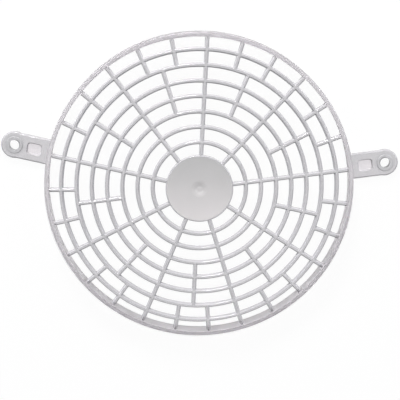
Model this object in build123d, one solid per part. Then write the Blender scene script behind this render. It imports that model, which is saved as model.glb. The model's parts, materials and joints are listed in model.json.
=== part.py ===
from build123d import *
import math
import os

# Finger guard for a 200 mm fan, moulded in one piece from clear plastic.
# A flat polar grille of rings and spokes closes the front of a shallow rim, and two ears at the
# back of the rim carry the screw holes. The guard lies on its back: z = 0 is the mounting plane,
# +Z is the guard's axis towards the front, and the origin is where the axis meets that plane.
# The part is mirror-symmetric about the YZ plane. All lengths are in millimetres.

# Rim: an open skirt, drafted so that it leaves the mould on both sides
rim_outer_radius = 100.0        # at the back edge, where the skirt is widest
rim_height = 13.5
rim_front_wall = 2.9
rim_back_wall = 2.2
rim_outer_draft = 0.5           # how far the outside draws in from back to front
rim_edge_break = 0.8            # on the outer edge of the front face

# Bars: every ring and spoke has the same section, drafted towards the front
bar_back_width = 3.0
bar_front_width = 2.4
bar_depth = 3.0
grille_recess = 0.5             # from the rim's front edge to the front of the bars

# Rings, spread evenly between the first and the last
ring_count = 7
first_ring_from_hub = 8.3       # from the hub's edge to the middle of the bar
last_ring_from_rim = 7.7        # from the middle of the bar to the rim's inner face

# Spokes: full ones run from hub to rim, and shorter ones fill in where the gaps get wide
full_spoke_count = 9
top_spoke_angle = 90.0          # degrees, one full spoke points along +Y
middle_first_ring_number = 3    # the half-way spokes start at this ring
middle_last_ring_number = 6     # and end at this one
outer_spokes_per_gap = 2        # between neighbouring full spokes, from the last of these rings out

# Hub disc
hub_radius = 21.8
hub_thickness = 4.0
hub_edge_chamfer = 0.8
hub_proud = 0.3                 # of the front of the bars
gate_dish_radius = 3.2          # where the plastic was fed in, at the middle of the hub
gate_dish_depth = 0.6
gate_stub_radius = 1.1
gate_stub_height = 0.35

# Ears, in line with a full spoke on either side
hole_from_rim = 22.36           # from the rim's back edge to the centre of the screw hole
hole_radius = 3.2               # clearance for a 6 mm screw
ear_spoke_steps = 2             # from the top spoke to the spoke that each ear continues
ear_neck_width = 16.6
ear_end_radius = 8.7
ear_thickness = 3.4
ear_edge_chamfer = 1.3
boss_radius = 5.5               # raised ring round the hole
boss_height = 4.0               # from the mounting plane
pocket_length = 9.7             # along the ear
pocket_width = 7.4
pocket_corner = 2.2
pocket_floor = 1.6              # plastic left under the pocket
pocket_draft_angle = 12.0       # degrees
pocket_from_hole = 13.0         # between their centres

# Sizes that follow from these
bar_front = rim_height - grille_recess
bar_back = bar_front - bar_depth
rim_front_outer_radius = rim_outer_radius - rim_outer_draft
rim_front_inner_radius = rim_front_outer_radius - rim_front_wall
rim_back_inner_radius = rim_outer_radius - rim_back_wall
first_ring_radius = hub_radius + first_ring_from_hub
last_ring_radius = rim_front_inner_radius - last_ring_from_rim
ring_pitch = (last_ring_radius - first_ring_radius) / (ring_count - 1)
spoke_step = 360.0 / full_spoke_count
ear_angle = top_spoke_angle - ear_spoke_steps * spoke_step
hole_radius_from_axis = rim_outer_radius + hole_from_rim
hole_spacing = 2 * hole_radius_from_axis * math.cos(math.radians(ear_angle))


def ring_radius(number):
    """Radius to the middle of a ring, counted from 1 at the hub outwards."""
    return first_ring_radius + (number - 1) * ring_pitch


def bar_section(plane):
    """Section across a bar, standing on its back face: its sides draw in towards the front."""
    half_back = bar_back_width / 2
    half_front = bar_front_width / 2
    corners = [(-half_back, 0), (half_back, 0), (half_front, bar_depth), (-half_front, bar_depth)]
    return plane * make_face(Polyline(*corners, close=True))


def ring(number):
    """One ring of the grille: the bar section turned about the axis."""
    section_plane = Plane(origin=(ring_radius(number), 0, bar_back), x_dir=(1, 0, 0), z_dir=(0, -1, 0))
    return revolve(bar_section(section_plane), Axis.Z, 360)


def spoke(start_radius, end_radius, angle):
    """One straight spoke between two radii, at an angle from +X."""
    section_plane = Plane(origin=(start_radius, 0, bar_back), x_dir=(0, 1, 0), z_dir=(1, 0, 0))
    bar = extrude(bar_section(section_plane), end_radius - start_radius)
    return Rot(0, 0, angle) * bar


def spokes():
    """All the spokes, in three bands that share the angle between two full spokes."""
    into_hub = hub_radius - bar_back_width
    into_rim = (rim_front_inner_radius + rim_front_outer_radius) / 2
    middle_start = ring_radius(middle_first_ring_number)
    middle_end = ring_radius(middle_last_ring_number)
    outer_step = spoke_step / (outer_spokes_per_gap + 1)
    bars = []
    for turn in range(full_spoke_count):
        angle = top_spoke_angle + turn * spoke_step
        bars.append(spoke(into_hub, into_rim, angle))
        bars.append(spoke(middle_start, middle_end, angle + spoke_step / 2))
        for extra in range(1, outer_spokes_per_gap + 1):
            bars.append(spoke(middle_end, into_rim, angle + extra * outer_step))
    return bars


def rim():
    """The skirt round the grille, thinner towards its open back."""
    section = Polyline(
        (rim_back_inner_radius, 0),
        (rim_outer_radius, 0),
        (rim_front_outer_radius, rim_height),
        (rim_front_inner_radius, rim_height),
        close=True,
    )
    skirt = revolve(Plane.XZ * make_face(section), Axis.Z, 360)
    front_outer_edge = skirt.edges().group_by(Axis.Z)[-1].sort_by(SortBy.RADIUS)[-1]
    return chamfer(front_outer_edge, rim_edge_break)


def hub():
    """The disc in the middle, with the dished mark of the mould's gate."""
    hub_front = bar_front + hub_proud
    hub_middle = hub_front - hub_thickness / 2
    disc = Pos(0, 0, hub_middle) * Cylinder(hub_radius, hub_thickness)
    front_edge = disc.edges().group_by(Axis.Z)[-1]
    disc = chamfer(front_edge, hub_edge_chamfer)
    dish_sphere_radius = (gate_dish_radius**2 + gate_dish_depth**2) / (2 * gate_dish_depth)
    dish = Pos(0, 0, hub_front - gate_dish_depth + dish_sphere_radius) * Sphere(dish_sphere_radius)
    stub_base = hub_front - gate_dish_depth * 2
    stub_height = gate_dish_depth + gate_stub_height
    stub = Pos(0, 0, stub_base + stub_height / 2) * Cylinder(gate_stub_radius, stub_height)
    return disc - dish + stub


def ear():
    """One ear along +X: a neck from the rim, a round end with its boss, and a pocket between."""
    root = rim_outer_radius - rim_back_wall / 2
    neck_length = hole_radius_from_axis - root
    neck = Box(neck_length, ear_neck_width, ear_thickness)
    neck = Pos(root + neck_length / 2, 0, ear_thickness / 2) * neck
    end = Pos(hole_radius_from_axis, 0, ear_thickness / 2) * Cylinder(ear_end_radius, ear_thickness)
    plate = neck + end
    front_edges = plate.edges().group_by(Axis.Z)[-1]
    outline = front_edges.filter_by(lambda edge: edge.center().X > root + ear_edge_chamfer)
    plate = chamfer(outline, ear_edge_chamfer)
    pocket_centre = hole_radius_from_axis - pocket_from_hole
    mouth = RectangleRounded(pocket_length, pocket_width, pocket_corner)
    mouth = Pos(pocket_centre, 0, ear_thickness) * mouth
    pocket = extrude(mouth, -(ear_thickness - pocket_floor), taper=pocket_draft_angle)
    boss = Pos(hole_radius_from_axis, 0, boss_height / 2) * Cylinder(boss_radius, boss_height)
    hole = Pos(hole_radius_from_axis, 0, boss_height / 2) * Cylinder(hole_radius, boss_height * 2)
    return plate - pocket + boss - hole


def fan_guard():
    """The whole moulding as one solid."""
    right_ear = Rot(0, 0, ear_angle) * ear()
    left_ear = mirror(right_ear, about=Plane.YZ)
    rings = [ring(number) for number in range(1, ring_count + 1)]
    return hub().fuse(rim(), *rings, *spokes(), right_ear, left_ear).clean()


def main():
    os.makedirs("parts", exist_ok=True)
    guard = fan_guard()
    export_step(guard, "parts/fan_guard.step")
    box = guard.bounding_box()
    print("fan_guard solids", len(guard.solids()), "size", box.size, "volume", round(guard.volume))
    print("the centres of the screw holes are", round(hole_spacing, 2), "mm apart")


main()
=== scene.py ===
import json
import math

import bmesh
import bpy
from mathutils import Matrix, Vector


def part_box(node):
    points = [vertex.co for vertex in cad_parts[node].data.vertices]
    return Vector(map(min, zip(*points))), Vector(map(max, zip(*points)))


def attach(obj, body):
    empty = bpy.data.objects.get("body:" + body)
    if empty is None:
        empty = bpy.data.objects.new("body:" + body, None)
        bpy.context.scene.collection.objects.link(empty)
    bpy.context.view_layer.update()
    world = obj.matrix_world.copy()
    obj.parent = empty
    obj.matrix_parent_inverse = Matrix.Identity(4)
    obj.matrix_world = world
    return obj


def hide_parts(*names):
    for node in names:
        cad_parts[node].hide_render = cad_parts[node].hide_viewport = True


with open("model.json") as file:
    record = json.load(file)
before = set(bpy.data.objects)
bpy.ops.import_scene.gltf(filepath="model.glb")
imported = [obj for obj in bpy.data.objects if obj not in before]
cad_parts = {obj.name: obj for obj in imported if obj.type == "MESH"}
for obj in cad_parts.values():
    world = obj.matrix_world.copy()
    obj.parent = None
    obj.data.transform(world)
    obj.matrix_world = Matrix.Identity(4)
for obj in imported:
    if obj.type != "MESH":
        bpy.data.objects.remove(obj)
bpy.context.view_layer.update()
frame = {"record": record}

bl_info = {
    "name": "Clear Fan Guard",
    "version": (1, 0, 0),
    "blender": (4, 5, 0),
    "location": "View3D > Sidebar > Fan Guard",
    "description": "Builds a fan guard moulded in clear plastic and the stage it is shown on",
    "category": "Object",
}

# Every length is in metres. The guard lies on its back, with +Z along its axis towards the front.
MM = 0.001
NODE = "fan_guard"
BODY = "root"

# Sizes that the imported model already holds
CAD_LOW, CAD_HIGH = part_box(NODE)
SCREWS = next(mount for mount in frame["record"]["mounts"] if mount["name"] == "ear_screws")
HALF_SPACING = SCREWS["dims"]["spacing_x_mm"] * MM / 2
HOLE_RADIUS = SCREWS["dims"]["hole_r_mm"] * MM
EAR_ANGLE = math.atan2(SCREWS["pos_m"][1], HALF_SPACING)
HOLE_FROM_AXIS = math.hypot(SCREWS["pos_m"][1], HALF_SPACING)


def length(name, description, default):
    """A length that a user can change, shown in the scene's units."""
    return bpy.props.FloatProperty(
        name=name, description=description, default=default, unit="LENGTH", precision=5
    )


def factor(name, description, default):
    """A share from 0 to 1."""
    return bpy.props.FloatProperty(
        name=name, description=description, default=default, min=0, max=1, subtype="FACTOR"
    )


def amount(name, description, default):
    """A plain number."""
    return bpy.props.FloatProperty(name=name, description=description, default=default, precision=4)


def angle(name, description, degrees):
    """An angle, given here in degrees."""
    return bpy.props.FloatProperty(
        name=name, description=description, default=math.radians(degrees), subtype="ANGLE"
    )


def count(name, description, default):
    """A whole number."""
    return bpy.props.IntProperty(name=name, description=description, default=default, min=1)


def colour(name, description, default):
    """A plain colour."""
    return bpy.props.FloatVectorProperty(
        name=name, description=description, default=default, min=0, max=1, subtype="COLOR"
    )


class GrilleSizes(bpy.types.PropertyGroup):
    """Rings and spokes of the polar grille"""

    rings: count("Rings", "Rings between hub and rim", 7)
    first_ring: length("First ring", "Radius to the middle of the innermost ring", 30.1 * MM)
    ring_pitch: length("Ring pitch", "Step from one ring to the next", 9.8 * MM)
    back_width: length("Bar width at the back", "Width of a bar on its back face", 3.0 * MM)
    front_width: length("Bar width at the front", "Width of a bar where its front is rounded", 2.6 * MM)
    depth: length("Bar depth", "Depth of a bar from front to back", 3.0 * MM)
    crown: length("Crown", "Depth of the rounded front of a bar", 1.4 * MM)
    recess: length("Recess", "From the rim's front edge back to the front of the bars", 0.5 * MM)
    full_spokes: count("Full spokes", "Spokes that run from hub to rim", 9)
    middle_first: count("Middle spokes from", "Ring at which the half-way spokes start", 3)
    middle_last: count("Middle spokes to", "Ring at which the half-way spokes end", 6)
    outer_spokes: count("Outer spokes", "Short spokes between two full ones, out to the rim", 2)
    edge_round: length("Edge rounding", "Radius along the back and in the windows' corners", 0.25 * MM)
    arc_steps: count("Arc steps", "Straight steps of a ring from one place for a spoke to the next", 3)


class RimSizes(bpy.types.PropertyGroup):
    """The skirt round the grille"""

    outer_radius: length("Outer radius", "Radius of the skirt at its back edge", CAD_HIGH.y)
    height: length("Height", "From the mounting plane to the rim's front edge", CAD_HIGH.z)
    front_wall: length("Front wall", "Wall thickness at the front edge", 2.9 * MM)
    back_wall: length("Back wall", "Wall thickness at the back edge", 2.2 * MM)
    draft: length("Draft", "How far the outside draws in from back to front", 0.5 * MM)
    outer_round: length("Outer rounding", "Radius of the outer front edge", 0.85 * MM)
    inner_round: length("Inner rounding", "Radius of the inner front edge", 0.4 * MM)


class HubSizes(bpy.types.PropertyGroup):
    """The disc in the middle and the gate mark on it"""

    radius: length("Radius", "Radius of the disc", 21.8 * MM)
    thickness: length("Thickness", "Thickness of the disc", 4.0 * MM)
    proud: length("Proud", "How far the disc stands in front of the bars", 0.3 * MM)
    edge_round: length("Edge rounding", "Radius of the front edge", 0.8 * MM)
    dish_radius: length("Dish radius", "Radius of the hollow round the gate mark", 3.2 * MM)
    dish_depth: length("Dish depth", "Depth of that hollow", 0.6 * MM)
    stub_radius: length("Stub radius", "Radius of the cut-off gate", 1.1 * MM)
    stub_height: length("Stub height", "Height of the cut-off gate above the hollow", 0.35 * MM)


class EarSizes(bpy.types.PropertyGroup):
    """The two screw ears"""

    neck_width: length("Neck width", "Width of the neck between rim and round end", 16.6 * MM)
    end_radius: length("End radius", "Radius of the round end", 8.69 * MM)
    thickness: length("Thickness", "Thickness of the ear", 3.4 * MM)
    edge_round: length("Edge rounding", "Radius of the front edges", 1.6 * MM)
    boss_radius: length("Boss radius", "Radius of the raised ring round the hole", 5.5 * MM)
    boss_height: length("Boss height", "Height of that ring above the mounting plane", 4.0 * MM)
    pocket_length: length("Pocket length", "Size of the pocket along the ear", 9.7 * MM)
    pocket_width: length("Pocket width", "Size of the pocket across the ear", 7.4 * MM)
    pocket_corner: length("Pocket corner", "Corner radius of the pocket", 2.2 * MM)
    pocket_floor: length("Pocket floor", "Plastic left under the pocket", 1.6 * MM)
    pocket_draft: angle("Pocket draft", "How far the pocket's sides lean outwards", 12)
    pocket_from_hole: length("Pocket from hole", "Distance between pocket and hole", 13.0 * MM)
    boss_round: length("Boss rounding", "Radius of the edge of the boss", 0.6 * MM)
    lip_round: length("Lip rounding", "Radius where a face turns into the pocket or the hole", 0.3 * MM)


class PlasticFinish(bpy.types.PropertyGroup):
    """Colour and surface of the clear plastic"""

    warm_tint: colour("Warm tint", "Colour of the plastic where it is light", (0.85, 0.825, 0.85))
    cool_tint: colour("Cool tint", "Colour of the plastic where it is dark", (0.54, 0.545, 0.56))
    hub_tint: colour("Hub tint", "Tints the hub's frosted face further", (1.0, 1.0, 0.96))
    tone: amount("Tone", "Where the bars lie between dark at 0 and light at 1", 0.5)
    drift: amount("Drift", "How far the tone wanders from place to place", 0.2)
    rim_tone: amount("Rim tone", "How much lighter the rim is", 0.5)
    # Painted light and shade on the hub: the hub tone lightens its middle, and the hub fall darkens it
    # towards its upper edge
    hub_tone: amount("Hub tone", "How much lighter the middle of the hub is", 0.22)
    hub_fall: amount("Hub fall", "How much darker the hub's upper edge is than its middle", 0.5)
    ear_tone: amount("Ear tone", "How much lighter an ear is, below 0 darker", -0.25)
    # Painted light and shade on the ears: the slope tone lightens their sloping sides, the boss and hole
    # tones darken them round the boss and in the hole, and the pocket tone lightens the pocket's floor,
    # partly for its thinner plastic and partly as painted light
    slope_tone: amount("Slope tone", "How much lighter than the ear its sloping sides are", 0.3)
    boss_tone: amount("Boss tone", "How much lighter than the ear it is round its boss", -0.25)
    hole_tone: amount("Hole tone", "How much lighter than the ear the hole's wall is", -0.35)
    pocket_tone: amount("Pocket tone", "How much lighter than the ear the pocket's floor is", 1.0)
    haze: factor("Haze", "Share of the light that flat faces scatter", 0.1)
    wall_haze: factor("Wall haze", "The same for sloping sides, which the mould leaves matt", 0.9)
    rim_haze: factor("Rim haze", "The same for the rim's front edge", 0.3)
    skirt_haze: factor("Skirt haze", "The same for the rim's walls", 0.15)
    hub_haze: factor("Hub haze", "The same for the hub's frosted face", 0.3)
    roughness: factor("Roughness", "Roughness of the polished surfaces", 0.10)
    skirt_roughness: factor("Skirt roughness", "Roughness of the rim's walls", 0.5)
    frost: factor("Hub frosting", "Roughness of the hub's frosted face", 0.42)


class StageSettings(bpy.types.PropertyGroup):
    """Camera, floor and lamps"""

    lens: bpy.props.FloatProperty(
        name="Lens", description="Focal length", default=80.0, unit="CAMERA"
    )
    distance: length("Camera distance", "From the camera to the middle of the grille", 0.573)
    tilt: angle("Tilt", "How far the camera stands above the guard's axis", 11.5)
    swing: angle("Swing", "How far the camera stands beside the guard's axis", 1.25)
    turn: angle("Turn", "How far the guard is turned clockwise in the picture", 2.98)
    room: colour("Room", "Colour of the soft light from all round", (0.98, 0.98, 1.0))
    far_wall: factor("Far wall", "Brightness of the room behind the guard's top", 0.15)
    near_wall: factor("Near wall", "Brightness of the room on the viewer's side", 0.0)
    glow: factor("Floor glow", "Brightness of the floor where no lamp reaches it", 0.96)
    shift_x: amount("Shift across", "Camera shift across the picture", 0.0014)
    shift_y: amount("Shift up", "Camera shift up the picture", -0.0289)


class FanGuardSettings(bpy.types.PropertyGroup):
    """Everything that a user can change"""

    grille: bpy.props.PointerProperty(type=GrilleSizes)
    rim: bpy.props.PointerProperty(type=RimSizes)
    hub: bpy.props.PointerProperty(type=HubSizes)
    ear: bpy.props.PointerProperty(type=EarSizes)
    plastic: bpy.props.PointerProperty(type=PlasticFinish)
    stage: bpy.props.PointerProperty(type=StageSettings)


# Node trees

def add_node(tree, kind, **options):
    """Adds a node and sets its options."""
    node = tree.nodes.new(kind)
    for name, value in options.items():
        setattr(node, name, value)
    return node


def feed(tree, socket, value):
    """Links a socket to another node's output, or gives it a plain value."""
    if isinstance(value, bpy.types.NodeSocket):
        tree.links.new(value, socket)
    else:
        socket.default_value = value


def calc(tree, operation, *values):
    """One step of arithmetic on sockets or plain numbers."""
    node = add_node(tree, "ShaderNodeMath", operation=operation)
    for socket, value in zip(node.inputs, values):
        feed(tree, socket, value)
    return node.outputs[0]


def new_geometry_tree(name, inputs):
    """A Geometry Nodes tree with the named inputs, and the sockets that bring their values."""
    tree = bpy.data.node_groups.new(name, "GeometryNodeTree")
    tree.interface.new_socket("Geometry", in_out="INPUT", socket_type="NodeSocketGeometry")
    for label, kind in inputs:
        tree.interface.new_socket(label, in_out="INPUT", socket_type=kind)
    tree.interface.new_socket("Geometry", in_out="OUTPUT", socket_type="NodeSocketGeometry")
    source = add_node(tree, "NodeGroupInput")
    return tree, {socket.name: socket for socket in source.outputs if socket.name}


def end_geometry_tree(tree, geometry, material):
    """Ends a tree in Realize Instances, Set Material and its output."""
    realized = add_node(tree, "GeometryNodeRealizeInstances")
    feed(tree, realized.inputs[0], geometry)
    painted = add_node(tree, "GeometryNodeSetMaterial")
    feed(tree, painted.inputs["Geometry"], realized.outputs[0])
    painted.inputs["Material"].default_value = material
    output = add_node(tree, "NodeGroupOutput")
    feed(tree, output.inputs[0], painted.outputs[0])


def add_tree_modifier(piece, tree, values):
    """Puts a Geometry Nodes modifier on a piece and sets its inputs by their identifiers."""
    modifier = piece.modifiers.new(tree.name, "NODES")
    modifier.node_group = tree
    for item in tree.interface.items_tree:
        if item.in_out == "INPUT" and item.name in values:
            modifier[item.identifier] = values[item.name]


def store(tree, geometry, name, value):
    """Keeps a number on every point, under a name."""
    node = add_node(tree, "GeometryNodeStoreNamedAttribute", data_type="FLOAT", domain="POINT")
    feed(tree, node.inputs["Geometry"], geometry)
    node.inputs["Name"].default_value = name
    feed(tree, node.inputs["Value"], value)
    return node.outputs["Geometry"]


def stored(tree, name):
    """Reads such a number back."""
    node = add_node(tree, "GeometryNodeInputNamedAttribute", data_type="FLOAT")
    node.inputs["Name"].default_value = name
    return node.outputs["Attribute"]


def polar_place(tree, half_width, height):
    """Where a point of the lattice lies when its bars have this half width, at this height."""
    radius = calc(tree, "MULTIPLY_ADD", stored(tree, "ring_side"), half_width, stored(tree, "ring_line"))
    half_angle = calc(tree, "ARCSINE", calc(tree, "DIVIDE", half_width, radius))
    turn = calc(tree, "MULTIPLY_ADD", stored(tree, "spoke_side"), half_angle, stored(tree, "spoke_line"))
    place = add_node(tree, "ShaderNodeCombineXYZ")
    feed(tree, place.inputs["X"], calc(tree, "MULTIPLY", radius, calc(tree, "COSINE", turn)))
    feed(tree, place.inputs["Y"], calc(tree, "MULTIPLY", radius, calc(tree, "SINE", turn)))
    feed(tree, place.inputs["Z"], height)
    return place.outputs[0]


def add_layer(tree, geometry, top, half_width, height):
    """Raises the faces on top of a lattice to a height and narrows its bars there."""
    raised = add_node(tree, "GeometryNodeExtrudeMesh", mode="FACES")
    feed(tree, raised.inputs["Mesh"], geometry)
    feed(tree, raised.inputs["Selection"], top)
    raised.inputs["Offset Scale"].default_value = 0
    raised.inputs["Individual"].default_value = False
    narrowed = add_node(tree, "GeometryNodeSetPosition")
    feed(tree, narrowed.inputs["Geometry"], raised.outputs["Mesh"])
    feed(tree, narrowed.inputs["Selection"], raised.outputs["Top"])
    feed(tree, narrowed.inputs["Position"], polar_place(tree, half_width, height))
    return narrowed.outputs[0], raised.outputs["Top"]


def grid_number(tree, cells, coordinate):
    """Number of a grid's row or column, counted from 0, for its points and for its faces alike."""
    centred = calc(tree, "MULTIPLY_ADD", cells, 0.5, coordinate)
    return calc(tree, "FLOOR", calc(tree, "ADD", centred, 0.01))


def split_number(tree, number, size):
    """Splits a number into a count of whole blocks and the place within the last one."""
    block = calc(tree, "FLOOR", calc(tree, "DIVIDE", calc(tree, "ADD", number, 0.01), size))
    return block, calc(tree, "SUBTRACT", number, calc(tree, "MULTIPLY", block, size))


def grille_tree(material):
    """The rule of the polar grille.

    A flat grid has a column for each side of each place where a spoke may be, with steps between
    them, and a row for each side of each ring. The faces over the windows are deleted, the rest is
    wrapped round the axis, and a copy of it is raised in layers that narrow towards the front.
    """
    whole = "NodeSocketInt"
    real = "NodeSocketFloat"
    tree, size = new_geometry_tree("Polar Grille", [
        ("Rings", whole), ("First Ring", real), ("Ring Pitch", real),
        ("Half Width Back", real), ("Half Width Front", real), ("Back Height", real),
        ("Depth", real), ("Crown", real), ("Inner End", real), ("Outer End", real),
        ("Full Spokes", whole), ("Top Angle", real), ("Middle First Ring", whole),
        ("Middle Last Ring", whole), ("Outer Spokes", whole), ("Arc Steps", whole),
    ])

    # A sector lies between two full spokes, and has equal units that may each start with a spoke
    middle_unit = calc(tree, "ADD", size["Outer Spokes"], 1)
    units = calc(tree, "MULTIPLY", middle_unit, 2)
    unit_columns = calc(tree, "ADD", size["Arc Steps"], 1)
    all_units = calc(tree, "MULTIPLY", units, size["Full Spokes"])
    unit_angle = calc(tree, "DIVIDE", 2 * math.pi, all_units)
    columns = calc(tree, "MULTIPLY", all_units, unit_columns)
    rows = calc(tree, "MULTIPLY_ADD", size["Rings"], 2, 1)
    grid = add_node(tree, "GeometryNodeMeshGrid")
    feed(tree, grid.inputs["Size X"], columns)
    feed(tree, grid.inputs["Size Y"], rows)
    feed(tree, grid.inputs["Vertices X"], calc(tree, "ADD", columns, 1))
    feed(tree, grid.inputs["Vertices Y"], calc(tree, "ADD", rows, 1))
    flat_place = add_node(tree, "ShaderNodeSeparateXYZ")
    feed(tree, flat_place.inputs[0], add_node(tree, "GeometryNodeInputPosition").outputs[0])
    column = grid_number(tree, columns, flat_place.outputs["X"])
    row = grid_number(tree, rows, flat_place.outputs["Y"])

    # Faces: odd rows are rings, and even rows are gaps that only spokes cross
    unit, step = split_number(tree, column, unit_columns)
    place_in_sector = calc(tree, "MODULO", unit, units)
    gap = calc(tree, "DIVIDE", row, 2)
    is_ring = calc(tree, "GREATER_THAN", calc(tree, "FRACT", calc(tree, "ADD", gap, 0.01)), 0.25)
    beyond = calc(tree, "ADD", gap, 0.5)
    past_first = calc(tree, "GREATER_THAN", beyond, size["Middle First Ring"])
    past_last = calc(tree, "GREATER_THAN", beyond, size["Middle Last Ring"])
    in_middle_band = calc(tree, "SUBTRACT", past_first, past_last)
    is_full = calc(tree, "LESS_THAN", place_in_sector, 0.5)
    is_middle = calc(tree, "COMPARE", place_in_sector, middle_unit, 0.5)
    is_outer = calc(tree, "LESS_THAN", calc(tree, "MODULO", place_in_sector, 2), 0.5)
    short_spoke = calc(tree, "MULTIPLY_ADD", is_middle, in_middle_band, calc(
        tree, "MULTIPLY", is_outer, past_last
    ))
    has_spoke = calc(tree, "MAXIMUM", is_full, short_spoke)
    is_spoke = calc(tree, "MULTIPLY", calc(tree, "LESS_THAN", step, 0.5), has_spoke)
    keep = calc(tree, "MAXIMUM", is_ring, is_spoke)

    # Rows: the ends inside hub and rim, and the two sides of each ring between them
    ring_step = calc(tree, "DIVIDE", calc(tree, "SUBTRACT", row, 1), 2)
    ring, half_step = split_number(tree, ring_step, 1)
    side_of_ring = calc(tree, "MULTIPLY_ADD", half_step, 4, -1)
    radius_of_ring = calc(tree, "MULTIPLY_ADD", ring, size["Ring Pitch"], size["First Ring"])
    at_inner_end = calc(tree, "LESS_THAN", row, 0.5)
    at_outer_end = calc(tree, "GREATER_THAN", row, calc(tree, "SUBTRACT", rows, 0.5))
    on_ring = calc(tree, "SUBTRACT", 1, calc(tree, "ADD", at_inner_end, at_outer_end))
    ends = calc(tree, "MULTIPLY_ADD", at_inner_end, size["Inner End"], calc(
        tree, "MULTIPLY", at_outer_end, size["Outer End"]
    ))
    ring_line = calc(tree, "MULTIPLY_ADD", on_ring, radius_of_ring, ends)
    ring_side = calc(tree, "MULTIPLY", on_ring, side_of_ring)

    # Columns: steps are even from one spoke to the next, so inside the middle spokes they share a
    # whole sector, and further out each unit has its own
    inside = calc(tree, "LESS_THAN", ring, calc(tree, "SUBTRACT", size["Middle First Ring"], 1.5))
    span = calc(tree, "MULTIPLY_ADD", inside, calc(tree, "SUBTRACT", units, 1), 1)
    span_columns = calc(tree, "MULTIPLY", span, unit_columns)
    block, place = split_number(tree, column, span_columns)
    share = calc(tree, "DIVIDE", calc(tree, "MAXIMUM", calc(tree, "SUBTRACT", place, 1), 0), calc(
        tree, "SUBTRACT", span_columns, 1
    ))
    line_units = calc(tree, "MULTIPLY", calc(tree, "ADD", block, share), span)
    line_units = calc(tree, "MODULO", line_units, all_units)
    spoke_line = calc(tree, "MULTIPLY_ADD", line_units, unit_angle, size["Top Angle"])
    on_left = calc(tree, "LESS_THAN", place, 0.5)
    spoke_side = calc(tree, "SUBTRACT", calc(tree, "MULTIPLY_ADD", share, -2, 1), calc(
        tree, "MULTIPLY", on_left, 2
    ))

    geometry = grid.outputs["Mesh"]
    geometry = store(tree, geometry, "spoke_line", spoke_line)
    geometry = store(tree, geometry, "spoke_side", spoke_side)
    geometry = store(tree, geometry, "ring_line", ring_line)
    geometry = store(tree, geometry, "ring_side", ring_side)
    windows = add_node(tree, "GeometryNodeDeleteGeometry", domain="FACE")
    feed(tree, windows.inputs["Geometry"], geometry)
    feed(tree, windows.inputs["Selection"], calc(tree, "SUBTRACT", 1, keep))
    wrapped = add_node(tree, "GeometryNodeSetPosition")
    feed(tree, wrapped.inputs["Geometry"], windows.outputs[0])
    back_place = polar_place(tree, size["Half Width Back"], size["Back Height"])
    feed(tree, wrapped.inputs["Position"], back_place)
    back = add_node(tree, "GeometryNodeMergeByDistance")
    feed(tree, back.inputs["Geometry"], wrapped.outputs[0])
    back.inputs["Distance"].default_value = 0.002 * MM

    # Wrapping turns the grid over, so that the merged copy already faces back
    flipped = add_node(tree, "GeometryNodeFlipFaces")
    feed(tree, flipped.inputs[0], back.outputs[0])

    # One layer makes the drafted sides, and the next ones round the front and leave a narrow flat
    wall_height = calc(tree, "SUBTRACT", size["Depth"], size["Crown"])
    wall_top = calc(tree, "ADD", size["Back Height"], wall_height)
    front, top = add_layer(tree, flipped.outputs[0], True, size["Half Width Front"], wall_top)
    steps = 5
    last_turn = math.radians(75)
    for step in range(1, steps + 1):
        turn = last_turn * step / steps
        half_width = calc(tree, "MULTIPLY", size["Half Width Front"], math.cos(turn))
        rise = math.sin(turn) / math.sin(last_turn)
        height = calc(tree, "MULTIPLY_ADD", size["Crown"], rise, wall_top)
        front, top = add_layer(tree, front, top, half_width, height)
    joined = add_node(tree, "GeometryNodeJoinGeometry")
    feed(tree, joined.inputs[0], back.outputs[0])
    feed(tree, joined.inputs[0], front)
    solid = add_node(tree, "GeometryNodeMergeByDistance")
    feed(tree, solid.inputs["Geometry"], joined.outputs[0])
    solid.inputs["Distance"].default_value = 0.002 * MM
    end_geometry_tree(tree, solid.outputs[0], material)
    return tree


# Meshes

def new_piece(name, mesh):
    """An object for a mesh, in the scene."""
    piece = bpy.data.objects.new(name, mesh)
    bpy.context.scene.collection.objects.link(piece)
    return piece


def rounded(corners, steps=6):
    """An outline with its corners turned into arcs. A corner is (x, y, radius)."""
    outline = []
    for number, (x, y, radius) in enumerate(corners):
        here = Vector((x, y))
        if radius == 0:
            outline.append(here)
            continue
        before = (Vector(corners[number - 1][:2]) - here).normalized()
        after = (Vector(corners[(number + 1) % len(corners)][:2]) - here).normalized()
        half = before.angle(after) / 2
        centre = here + (before + after).normalized() * radius / math.sin(half)
        start = here + before * radius / math.tan(half) - centre
        sweep = start.angle_signed(here + after * radius / math.tan(half) - centre)
        for step in range(steps + 1):
            outline.append(centre + Matrix.Rotation(-sweep * step / steps, 2) @ start)
    return outline


def shell(layers, closed=False):
    """A solid through layers of points, one above the other, with as many points in each.

    Layers of one point close to a pole, and the first and last layer get a cap, or with closed they
    are joined to each other.
    """
    work = bmesh.new()
    rows = [[work.verts.new(point) for point in layer] for layer in layers]
    pairs = list(zip(rows, rows[1:]))
    if closed:
        pairs.append((rows[-1], rows[0]))
    else:
        for row in (rows[0], rows[-1]):
            if len(row) > 1:
                work.faces.new(row)
    for low, high in pairs:
        size = max(len(low), len(high))
        for number in range(size):
            following = (number + 1) % size
            if len(low) == 1:
                work.faces.new((low[0], high[following], high[number]))
            elif len(high) == 1:
                work.faces.new((low[number], low[following], high[0]))
            else:
                work.faces.new((low[number], low[following], high[following], high[number]))
    bmesh.ops.recalc_face_normals(work, faces=work.faces)
    mesh = bpy.data.meshes.new("shell")
    work.to_mesh(mesh)
    work.free()
    return mesh


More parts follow.
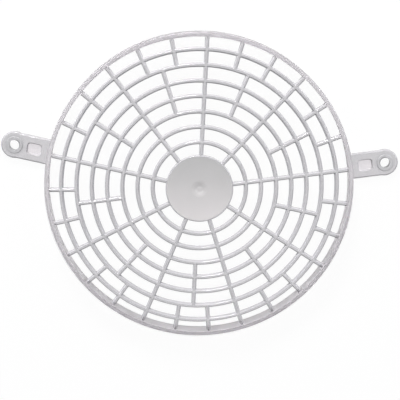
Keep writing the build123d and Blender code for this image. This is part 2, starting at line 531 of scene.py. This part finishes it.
def turned(profile, steps, closed=False, centre=(0, 0)):
    """A solid turned about Z from a profile of (radius, height). A radius of 0 makes a pole."""
    turns = [2 * math.pi * step / steps for step in range(steps)]
    layers = []
    for radius, height in profile:
        if radius == 0:
            layers.append([Vector((*centre, height))])
            continue
        layers.append([
            Vector((centre[0] + radius * math.cos(turn), centre[1] + radius * math.sin(turn), height))
            for turn in turns
        ])
    return shell(layers, closed)


def quarter_turns(steps):
    """Angles from 0 to a right angle."""
    return [math.pi / 2 * step / steps for step in range(steps + 1)]


def combine(piece, operation, tool):
    """Adds a tool to a piece, or cuts it out of it."""
    modifier = piece.modifiers.new(operation.title(), "BOOLEAN")
    modifier.operation = operation
    modifier.solver = "MANIFOLD"
    modifier.object = tool


def settle(piece, tools=()):
    """Turns a piece with its modifiers into a plain mesh, and removes the tools that shaped it."""
    bpy.context.view_layer.update()
    evaluated = piece.evaluated_get(bpy.context.evaluated_depsgraph_get())
    mesh = bpy.data.meshes.new_from_object(evaluated)
    piece.modifiers.clear()
    old = piece.data
    piece.data = mesh
    bpy.data.meshes.remove(old)
    mesh.name = piece.name
    for tool in tools:
        mesh = tool.data
        bpy.data.objects.remove(tool)
        bpy.data.meshes.remove(mesh)


def make_grille(material):
    """The bars, made by the tree of the polar grille and rounded by a bevel."""
    sizes = bpy.context.scene.fan_guard
    grille, rim, hub = sizes.grille, sizes.rim, sizes.hub
    back = rim.height - grille.recess - grille.depth
    middle_of_wall = rim.outer_radius - rim.draft - rim.front_wall / 2
    piece = new_piece("guard_moulding", bpy.data.meshes.new("grille"))
    add_tree_modifier(piece, grille_tree(material), {
        "Rings": grille.rings,
        "First Ring": grille.first_ring,
        "Ring Pitch": grille.ring_pitch,
        "Half Width Back": grille.back_width / 2,
        "Half Width Front": grille.front_width / 2,
        "Back Height": back,
        "Depth": grille.depth,
        "Crown": grille.crown,
        "Inner End": hub.radius - grille.back_width,
        "Outer End": middle_of_wall,
        "Full Spokes": grille.full_spokes,
        "Top Angle": math.pi / 2,
        "Middle First Ring": grille.middle_first,
        "Middle Last Ring": grille.middle_last,
        "Outer Spokes": grille.outer_spokes,
        "Arc Steps": grille.arc_steps,
    })
    bevel = piece.modifiers.new("Rounded edges", "BEVEL")
    bevel.width = grille.edge_round
    bevel.segments = 3
    bevel.limit_method = "ANGLE"
    bevel.angle_limit = math.radians(40)
    bevel.use_clamp_overlap = False
    return piece


def make_rim():
    """The skirt, turned from its section, with rounded front edges."""
    rim = bpy.context.scene.fan_guard.rim
    front_outer = rim.outer_radius - rim.draft
    section = rounded([
        (rim.outer_radius - rim.back_wall, 0, 0.2 * MM),
        (rim.outer_radius, 0, 0.2 * MM),
        (front_outer, rim.height, rim.outer_round),
        (front_outer - rim.front_wall, rim.height, rim.inner_round),
    ], steps=4)
    return new_piece("rim", turned(section, 270, closed=True))


def make_hub():
    """The disc, with a rounded front edge, a dished gate mark and the stub in it."""
    sizes = bpy.context.scene.fan_guard
    hub = sizes.hub
    front = sizes.rim.height - sizes.grille.recess + hub.proud
    back = front - hub.thickness
    sphere = (hub.dish_radius**2 + hub.dish_depth**2) / (2 * hub.dish_depth)
    floor = front - hub.dish_depth
    outline = rounded([
        (0, back, 0), (hub.radius, back, 0.2 * MM), (hub.radius, front, hub.edge_round), (0, front, 0)
    ])
    profile = [tuple(point) for point in outline[:-1]]
    steps = 7
    for step in range(steps + 1):
        radius = hub.dish_radius + (hub.stub_radius - hub.dish_radius) * step / steps
        profile.append((radius, floor + sphere - math.sqrt(sphere**2 - radius**2)))

    # The stub's edge is broken, and its cut end is slightly hollow
    top = floor + hub.stub_height
    profile.append((hub.stub_radius, top - 0.1 * MM))
    profile.append((hub.stub_radius - 0.12 * MM, top))
    profile.append((0, top - 0.05 * MM))
    return new_piece("hub", turned(profile, 108))


def ear_outline(inset):
    """Outline of an ear along +X, drawn in by an inset, except where it runs into the rim."""
    sizes = bpy.context.scene.fan_guard
    ear = sizes.ear
    root = sizes.rim.outer_radius - sizes.rim.back_wall / 2
    half = ear.neck_width / 2 - inset
    radius = ear.end_radius - inset
    start = math.pi - math.asin(half / radius)
    steps = 40
    outline = [(root, half), (root, -half)]
    for step in range(steps + 1):
        turn = -start + 2 * start * step / steps
        outline.append((HOLE_FROM_AXIS + radius * math.cos(turn), radius * math.sin(turn)))
    return outline


def make_ear_plate():
    """An ear without its pocket, boss and hole, with rounded front edges and broken back ones."""
    ear = bpy.context.scene.fan_guard.ear
    edge_break = 0.15 * MM
    levels = [(edge_break, 0), (0, edge_break)]
    for turn in quarter_turns(5):
        inset = ear.edge_round * (1 - math.cos(turn))
        levels.append((inset, ear.thickness - ear.edge_round * (1 - math.sin(turn))))
    return shell([[Vector((x, y, height)) for x, y in ear_outline(inset)] for inset, height in levels])


def make_pocket_cutter():
    """What is cut from an ear for its pocket, with a rounded lip and rounded floor corners."""
    ear = bpy.context.scene.fan_guard.ear
    middle = HOLE_FROM_AXIS - ear.pocket_from_hole
    depth = ear.thickness - ear.pocket_floor
    lean = math.tan(ear.pocket_draft)
    corner = 0.35 * MM
    levels = [
        (-lean * depth - corner, ear.pocket_floor),
        (-lean * depth - corner * 0.3, ear.pocket_floor + corner * 0.3),
        (-lean * (depth - corner), ear.pocket_floor + corner),
    ]
    for turn in quarter_turns(4):
        drop = ear.lip_round * (1 - math.sin(turn))
        levels.append((ear.lip_round * (1 - math.cos(turn)) - lean * drop, ear.thickness - drop))
    levels.append((levels[-1][0], ear.thickness + 1 * MM))
    layers = []
    for grow, height in levels:
        x = ear.pocket_length / 2 + grow
        y = ear.pocket_width / 2 + grow
        radius = ear.pocket_corner + grow
        outline = rounded([
            (middle - x, -y, radius), (middle + x, -y, radius),
            (middle + x, y, radius), (middle - x, y, radius),
        ], steps=8)
        layers.append([Vector((point.x, point.y, height)) for point in outline])
    return shell(layers)


def make_boss():
    """The raised ring round the hole, with a rounded edge."""
    ear = bpy.context.scene.fan_guard.ear
    foot = ear.thickness / 2
    profile = rounded([
        (0, foot, 0), (ear.boss_radius, foot, 0),
        (ear.boss_radius, ear.boss_height, ear.boss_round), (0, ear.boss_height, 0),
    ], steps=4)
    return turned([tuple(point) for point in profile], 72, centre=(HOLE_FROM_AXIS, 0))


def make_hole_cutter():
    """What is drilled from an ear, wider at both mouths."""
    ear = bpy.context.scene.fan_guard.ear
    lip = ear.lip_round
    past = 1 * MM
    top = ear.boss_height
    wide = HOLE_RADIUS + lip
    profile = [(0, -past), (wide, -past)]
    for turn in quarter_turns(4):
        profile.append((wide - lip * math.sin(turn), lip * (1 - math.cos(turn))))
    for turn in quarter_turns(4):
        profile.append((wide - lip * math.cos(turn), top - lip * (1 - math.sin(turn))))
    profile += [(wide, top + past), (0, top + past)]
    return turned(profile, 72, centre=(HOLE_FROM_AXIS, 0))


def make_ears():
    """Both ears, each in its place."""
    ears = []
    for name, turn in (("right_ear", EAR_ANGLE), ("left_ear", math.pi - EAR_ANGLE)):
        ear = new_piece(name, make_ear_plate())
        pocket = new_piece("pocket", make_pocket_cutter())
        boss = new_piece("boss", make_boss())
        hole = new_piece("hole", make_hole_cutter())
        combine(ear, "DIFFERENCE", pocket)
        combine(ear, "UNION", boss)
        combine(ear, "DIFFERENCE", hole)
        settle(ear, (pocket, boss, hole))
        ear.data.transform(Matrix.Rotation(turn, 4, "Z"))
        ears.append(ear)
    return ears


def finish_surface(piece):
    """Smooth shading that keeps flat faces flat and real edges sharp."""
    mesh = piece.data
    work = bmesh.new()
    work.from_mesh(mesh)
    bmesh.ops.remove_doubles(work, verts=work.verts, dist=0.002 * MM)
    bmesh.ops.dissolve_degenerate(work, edges=work.edges, dist=0.001 * MM)
    work.to_mesh(mesh)
    work.free()
    mesh.shade_smooth()
    mesh.set_sharp_from_angle(angle=math.radians(38))
    weighted = piece.modifiers.new("Flat faces", "WEIGHTED_NORMAL")
    weighted.keep_sharp = True
    settle(piece)


# Plastic

def noise(tree, place, scale, detail=2.0, stretch=None):
    """Noise from about -1 to 1."""
    if stretch:
        mapping = add_node(tree, "ShaderNodeMapping")
        feed(tree, mapping.inputs["Vector"], place)
        mapping.inputs["Scale"].default_value = stretch
        place = mapping.outputs[0]
    node = add_node(tree, "ShaderNodeTexNoise")
    feed(tree, node.inputs["Vector"], place)
    node.inputs["Scale"].default_value = scale
    node.inputs["Detail"].default_value = detail
    return calc(tree, "MULTIPLY_ADD", node.outputs[0], 2, -1)


def clear_plastic():
    """Clear plastic as it leaves the mould, with matt slopes, a frosted hub, fine scuffs, and light and
    shade painted into its tone on the hub and the ears.
    """
    sizes = bpy.context.scene.fan_guard
    finish, hub = sizes.plastic, sizes.hub
    material = bpy.data.materials.new("moulded_plastic")
    material.use_nodes = True
    tree = material.node_tree
    tree.nodes.clear()
    place = add_node(tree, "ShaderNodeTexCoord").outputs["Object"]
    parts = add_node(tree, "ShaderNodeSeparateXYZ")
    feed(tree, parts.inputs[0], place)
    x, y, z = parts.outputs
    radius = calc(tree, "SQRT", calc(tree, "ADD", calc(tree, "POWER", x, 2), calc(tree, "POWER", y, 2)))

    # The frosted patch is the hub's front face
    face_edge = hub.radius - hub.edge_round
    inside = calc(tree, "LESS_THAN", radius, face_edge)
    front = sizes.rim.height - sizes.grille.recess + hub.proud
    high = calc(tree, "GREATER_THAN", z, front - hub.dish_depth)
    frosted = calc(tree, "MULTIPLY", inside, high)

    # Sloping sides are matt from the mould, the rim's walls less so, and the hole's wall is polished
    facing = add_node(tree, "ShaderNodeSeparateXYZ")
    feed(tree, facing.inputs[0], add_node(tree, "ShaderNodeNewGeometry").outputs["Normal"])
    upright = add_node(tree, "ShaderNodeMapRange", interpolation_type="SMOOTHSTEP")
    feed(tree, upright.inputs["Value"], calc(tree, "ABSOLUTE", facing.outputs["Z"]))
    upright.inputs["From Min"].default_value = 1.0
    upright.inputs["From Max"].default_value = 0.75
    half_wall = sizes.rim.front_wall / 2 + sizes.rim.draft
    on_rim = calc(tree, "COMPARE", radius, sizes.rim.outer_radius - half_wall, half_wall)
    from_hole_x = calc(tree, "SUBTRACT", calc(tree, "ABSOLUTE", x), HALF_SPACING)
    from_hole_y = calc(tree, "SUBTRACT", y, SCREWS["pos_m"][1])
    from_hole = calc(tree, "SQRT", calc(tree, "ADD", calc(tree, "POWER", from_hole_x, 2), calc(
        tree, "POWER", from_hole_y, 2
    )))
    beside_hole = calc(tree, "GREATER_THAN", from_hole, HOLE_RADIUS + sizes.ear.lip_round)
    matt_side = calc(tree, "MULTIPLY", upright.outputs[0], beside_hole)

    # Long waves and a fine skin for the relief, and scuffs drawn out along Y for the roughness
    waves = noise(tree, place, 60, detail=3)
    skin = noise(tree, place, 700, detail=2)
    scuff = noise(tree, place, 260, detail=4, stretch=(1, 0.15, 1))

    # Painted shade and light: the hub is darker towards the top spoke and lighter towards its bottom,
    # an ear has painted light on its slopes and painted shade round its boss and in its hole, and its
    # pocket's thin floor is lighter, partly for the thinner plastic and partly as painted light. The
    # rim is lighter than the bars, and the colour drifts slowly. Beyond 0 and 1 the tone goes on past
    # both tints
    hub_painted_shade = calc(tree, "MULTIPLY_ADD", y, -finish.hub_fall / hub.radius, finish.hub_tone)
    hub_painted_shade = calc(tree, "MULTIPLY", hub_painted_shade, inside)
    # Low flat faces on an ear, the pocket's floor among them, are lighter, partly for the thinner
    # plastic under the pocket and partly as painted light
    low = calc(tree, "LESS_THAN", z, sizes.ear.pocket_floor + 0.2 * MM)
    beyond_rim = calc(tree, "GREATER_THAN", radius, sizes.rim.outer_radius)
    flat = calc(tree, "SUBTRACT", 1, upright.outputs[0])
    thin_floor_and_painted_light = calc(tree, "MULTIPLY", low, flat)
    # Painted shade round the boss and in the hole, and painted light on the ear's sloping sides
    boss_painted_shade = add_node(tree, "ShaderNodeMapRange", interpolation_type="SMOOTHSTEP")
    feed(tree, boss_painted_shade.inputs["Value"], from_hole)
    boss_painted_shade.inputs["From Min"].default_value = sizes.ear.boss_radius * 1.4
    boss_painted_shade.inputs["From Max"].default_value = sizes.ear.boss_radius * 0.9
    hole_painted_shade = finish.ear_tone + finish.hole_tone
    shade = calc(tree, "MULTIPLY_ADD", boss_painted_shade.outputs[0], finish.boss_tone, hole_painted_shade)
    shade = calc(tree, "MULTIPLY_ADD", beside_hole, -finish.hole_tone, shade)
    shade = calc(tree, "MULTIPLY_ADD", upright.outputs[0], finish.slope_tone, shade)
    shade = calc(tree, "MULTIPLY_ADD", thin_floor_and_painted_light, finish.pocket_tone, shade)
    on_ear = calc(tree, "MULTIPLY", beyond_rim, shade)
    lighter = calc(tree, "MULTIPLY_ADD", on_rim, finish.rim_tone, hub_painted_shade)
    lighter = calc(tree, "ADD", on_ear, lighter)
    drift = calc(tree, "MULTIPLY_ADD", noise(tree, place, 45, detail=3), finish.drift, finish.tone)
    tone = add_node(tree, "ShaderNodeMix", data_type="RGBA", blend_type="MIX", clamp_factor=False)
    feed(tree, tone.inputs[0], calc(tree, "ADD", drift, lighter))
    tone.inputs[6].default_value = (*finish.cool_tint, 1)
    tone.inputs[7].default_value = (*finish.warm_tint, 1)
    tinted = add_node(tree, "ShaderNodeMix", data_type="RGBA", blend_type="MULTIPLY")
    feed(tree, tinted.inputs[0], frosted)
    feed(tree, tinted.inputs[6], tone.outputs[2])
    tinted.inputs[7].default_value = (*finish.hub_tint, 1)

    rough = calc(tree, "MULTIPLY_ADD", skin, 0.03, finish.roughness)
    rough = calc(tree, "MULTIPLY_ADD", calc(tree, "MAXIMUM", scuff, 0), 0.12, rough)
    rough = calc(tree, "MAXIMUM", rough, calc(tree, "MULTIPLY", frosted, finish.frost))
    on_skirt = calc(tree, "MULTIPLY", on_rim, upright.outputs[0])
    rough = calc(tree, "MAXIMUM", rough, calc(tree, "MULTIPLY", on_skirt, finish.skirt_roughness))

    relief = calc(tree, "MULTIPLY_ADD", skin, 0.5, waves)
    bump = add_node(tree, "ShaderNodeBump")
    bump.inputs["Strength"].default_value = 0.25
    bump.inputs["Distance"].default_value = 0.02 * MM
    feed(tree, bump.inputs["Height"], relief)

    # A shallow sink round the gate
    sink = add_node(tree, "ShaderNodeMapRange", interpolation_type="SMOOTHSTEP")
    feed(tree, sink.inputs["Value"], radius)
    sink.inputs["From Min"].default_value = hub.dish_radius * 0.6
    sink.inputs["From Max"].default_value = hub.dish_radius * 1.8
    sunk = add_node(tree, "ShaderNodeBump")
    sunk.inputs["Strength"].default_value = 1.0
    sunk.inputs["Distance"].default_value = 0.9 * MM
    feed(tree, sunk.inputs["Height"], sink.outputs[0])
    feed(tree, sunk.inputs["Normal"], bump.outputs[0])

    shader = add_node(tree, "ShaderNodeBsdfPrincipled")
    feed(tree, shader.inputs["Base Color"], tinted.outputs[2])
    feed(tree, shader.inputs["Roughness"], rough)
    feed(tree, shader.inputs["Normal"], sunk.outputs[0])
    shader.inputs["IOR"].default_value = 1.49
    scattered = calc(tree, "MULTIPLY_ADD", matt_side, finish.wall_haze - finish.haze, finish.haze)
    towards_skirt = finish.skirt_haze - finish.rim_haze
    rim_share = calc(tree, "MULTIPLY_ADD", upright.outputs[0], towards_skirt, finish.rim_haze)
    for zone, share in ((on_rim, rim_share), (frosted, finish.hub_haze)):
        scattered = calc(tree, "MULTIPLY_ADD", calc(tree, "SUBTRACT", share, scattered), zone, scattered)
    feed(tree, shader.inputs["Transmission Weight"], calc(tree, "SUBTRACT", 1, scattered))
    output = add_node(tree, "ShaderNodeOutputMaterial")
    feed(tree, output.inputs["Surface"], shader.outputs[0])
    return material


class FANGUARD_OT_moulding(bpy.types.Operator):
    """Make the guard: grille, hub, rim and ears as one moulding"""

    bl_idname = "fan_guard.make_moulding"
    bl_label = "Make Guard"

    def execute(self, context):
        material = clear_plastic()
        guard = make_grille(material)
        others = [make_rim(), make_hub(), *make_ears()]
        for other in others:
            combine(guard, "UNION", other)
        settle(guard, others)
        guard.data.materials.clear()
        guard.data.materials.append(material)
        finish_surface(guard)
        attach(guard, BODY)
        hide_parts(NODE)
        return {"FINISHED"}


# Stage

def make_floor():
    """A white floor that shows as white, with a faint shadow."""
    stage = bpy.context.scene.fan_guard.stage
    half = 4.0
    low = CAD_LOW.z - 0.2 * MM
    mesh = bpy.data.meshes.new("floor")
    corners = [(-half, -half, low), (half, -half, low), (half, half, low), (-half, half, low)]
    mesh.from_pydata(corners, [], [(0, 1, 2, 3)])
    floor = new_piece("floor", mesh)
    material = bpy.data.materials.new("floor_white")
    material.use_nodes = True
    tree = material.node_tree
    tree.nodes.clear()
    path = add_node(tree, "ShaderNodeLightPath")
    seen = calc(tree, "MAXIMUM", path.outputs["Is Camera Ray"], calc(
        tree, "MAXIMUM", path.outputs["Is Glossy Ray"], path.outputs["Is Transmission Ray"]
    ))
    # Where the lamps light it fully, glow and paint together come out just above white
    paint = 1.02 - stage.glow
    matt = add_node(tree, "ShaderNodeBsdfDiffuse")
    matt.inputs["Color"].default_value = (paint, paint, paint, 1)
    glow = add_node(tree, "ShaderNodeEmission")
    feed(tree, glow.inputs["Strength"], calc(tree, "MULTIPLY", seen, stage.glow))
    both = add_node(tree, "ShaderNodeAddShader")
    feed(tree, both.inputs[0], matt.outputs[0])
    feed(tree, both.inputs[1], glow.outputs[0])
    output = add_node(tree, "ShaderNodeOutputMaterial")
    feed(tree, output.inputs["Surface"], both.outputs[0])
    mesh.materials.append(material)


def make_light():
    """A dim room, a low lamp beyond the guard's top and a weaker one on either side."""
    stage = bpy.context.scene.fan_guard.stage
    world = bpy.data.worlds.new("room")
    world.use_nodes = True
    tree = world.node_tree
    towards = add_node(tree, "ShaderNodeSeparateXYZ")
    feed(tree, towards.inputs[0], add_node(tree, "ShaderNodeTexCoord").outputs["Generated"])
    middle = (stage.far_wall + stage.near_wall) / 2
    lean = (stage.far_wall - stage.near_wall) / 2
    background = tree.nodes["Background"]
    background.inputs["Color"].default_value = (*stage.room, 1)
    strength = calc(tree, "MULTIPLY_ADD", towards.outputs["Y"], lean, middle)
    feed(tree, background.inputs["Strength"], strength)
    bpy.context.scene.world = world
    for name, place, size, power, tint in (
        ("key_lamp", (-0.25, 1.05, 0.6), 0.35, 12.0, (1.0, 0.98, 0.97)),
        ("left_lamp", (-1.1, 0.5, 0.55), 0.6, 6.0, (0.9, 0.93, 1.0)),
        ("right_lamp", (1.1, 0.5, 0.55), 0.6, 6.0, (0.9, 0.93, 1.0)),
    ):
        data = bpy.data.lights.new(name, "AREA")
        data.size = size
        data.energy = power
        data.color = tint
        lamp = bpy.data.objects.new(name, data)
        bpy.context.scene.collection.objects.link(lamp)
        lamp.location = place
        lamp.rotation_euler = (-Vector(place)).to_track_quat("-Z", "Y").to_euler()


def make_camera():
    """The camera that sees the guard as the photograph does."""
    sizes = bpy.context.scene.fan_guard
    stage, grille = sizes.stage, sizes.grille
    tilt, swing = stage.tilt, stage.swing
    back = Vector((-math.sin(swing) * math.cos(tilt), math.sin(tilt), math.cos(swing) * math.cos(tilt)))
    right = Vector((math.cos(swing), 0, math.sin(swing)))
    axes = Matrix((right, back.cross(right), back)).transposed()
    axes = Matrix.Rotation(stage.turn, 3, "Z") @ axes
    middle = Vector((0, 0, sizes.rim.height - grille.recess - grille.depth / 2))
    data = bpy.data.cameras.new("camera")
    data.lens = stage.lens
    data.shift_x = stage.shift_x
    data.shift_y = stage.shift_y
    data.clip_start = 0.01
    camera = bpy.data.objects.new("camera", data)
    bpy.context.scene.collection.objects.link(camera)
    place = axes @ Vector((0, 0, stage.distance)) + middle
    camera.matrix_world = Matrix.Translation(place) @ axes.to_4x4()
    bpy.context.scene.camera = camera


class FANGUARD_OT_stage(bpy.types.Operator):
    """Make the floor, the lamps and the camera"""

    bl_idname = "fan_guard.make_stage"
    bl_label = "Make Stage"

    def execute(self, context):
        make_floor()
        make_light()
        make_camera()
        context.scene.view_settings.view_transform = "Standard"
        return {"FINISHED"}


class FANGUARD_PT_panel(bpy.types.Panel):
    """Sizes, finish and stage of the guard"""

    bl_idname = "FANGUARD_PT_panel"
    bl_label = "Fan Guard"
    bl_space_type = "VIEW_3D"
    bl_region_type = "UI"
    bl_category = "Fan Guard"

    def draw(self, context):
        layout = self.layout
        layout.operator(FANGUARD_OT_moulding.bl_idname)
        layout.operator(FANGUARD_OT_stage.bl_idname)
        sizes = context.scene.fan_guard
        for group in (sizes.grille, sizes.rim, sizes.hub, sizes.ear, sizes.plastic, sizes.stage):
            box = layout.box()
            for name in group.__annotations__:
                box.prop(group, name)


CLASSES = (
    GrilleSizes, RimSizes, HubSizes, EarSizes, PlasticFinish, StageSettings, FanGuardSettings,
    FANGUARD_OT_moulding, FANGUARD_OT_stage, FANGUARD_PT_panel,
)


def register():
    """Registers the classes and puts the settings on the scene."""
    for each in CLASSES:
        bpy.utils.register_class(each)
    bpy.types.Scene.fan_guard = bpy.props.PointerProperty(type=FanGuardSettings)


def unregister():
    """Takes them away again."""
    del bpy.types.Scene.fan_guard
    for each in reversed(CLASSES):
        bpy.utils.unregister_class(each)


def main():
    """Makes the whole scene."""
    register()
    bpy.ops.fan_guard.make_moulding()
    bpy.ops.fan_guard.make_stage()


if __name__ == "__main__":
    main()
